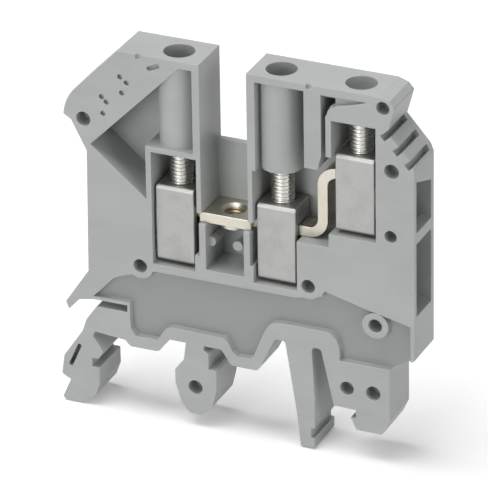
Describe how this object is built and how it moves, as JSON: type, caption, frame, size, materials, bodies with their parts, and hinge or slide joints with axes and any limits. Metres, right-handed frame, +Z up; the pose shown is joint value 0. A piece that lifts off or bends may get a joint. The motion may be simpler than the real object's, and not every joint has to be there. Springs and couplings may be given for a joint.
{
  "type": "feed-through terminal block",
  "caption": "Slim rail-mounted terminal block with screw clamps, its open side showing clamp cages, a stepped current bar and a clip-on foot.",
  "frame": {"origin": "middle of the mounting rail at its underside, on the open side's plane", "axes": "+X along the block to the side with two clamps, +Y along the rail away from the open side, +Z up from the rail"},
  "size_m": [0.0473, 0.0074, 0.0493],
  "materials": {
    "housing_plastic": "moulded polyamide, light grey, satin",
    "tinned_copper": "tinned, warm silver, drawn",
    "cage_steel": "zinc plated, satin",
    "screw_steel": "zinc plated, bright"
  },
  "bodies": {
    "block": {"housing": "housing_plastic", "current_bar": "tinned_copper"},
    "left_clamp": {"left_cage": "cage_steel"},
    "left_turner": {"left_screw": "screw_steel"},
    "middle_clamp": {"middle_cage": "cage_steel"},
    "middle_turner": {"middle_screw": "screw_steel"},
    "right_clamp": {"right_cage": "cage_steel"},
    "right_turner": {"right_screw": "screw_steel"}
  },
  "joints": [
    {"name": "left_screw_turn", "type": "hinge", "parent": "block", "child": "left_turner", "pos_m": [-0.00625, 0.0029, 0.034], "axis": [0, 0, -1], "range_deg": [0, 3168]},
    {"name": "left_cage_rise", "type": "slide", "parent": "block", "child": "left_clamp", "axis": [0, 0, 1], "range_m": [0, 0.0044]},
    {"name": "middle_screw_turn", "type": "hinge", "parent": "block", "child": "middle_turner", "pos_m": [0.00715, 0.0029, 0.034], "axis": [0, 0, -1], "range_deg": [0, 3168]},
    {"name": "middle_cage_rise", "type": "slide", "parent": "block", "child": "middle_clamp", "axis": [0, 0, 1], "range_m": [0, 0.0044]},
    {"name": "right_screw_turn", "type": "hinge", "parent": "block", "child": "right_turner", "pos_m": [0.0175, 0.0029, 0.0425], "axis": [0, 0, -1], "range_deg": [0, 3168]},
    {"name": "right_cage_rise", "type": "slide", "parent": "block", "child": "right_clamp", "axis": [0, 0, 1], "range_m": [0, 0.0044]}
  ],
  "couplings": [
    {"joint": "left_screw_turn", "follows": "left_cage_rise", "rad_per_m": 12566},
    {"joint": "middle_screw_turn", "follows": "middle_cage_rise", "rad_per_m": 12566},
    {"joint": "right_screw_turn", "follows": "right_cage_rise", "rad_per_m": 12566}
  ]
}
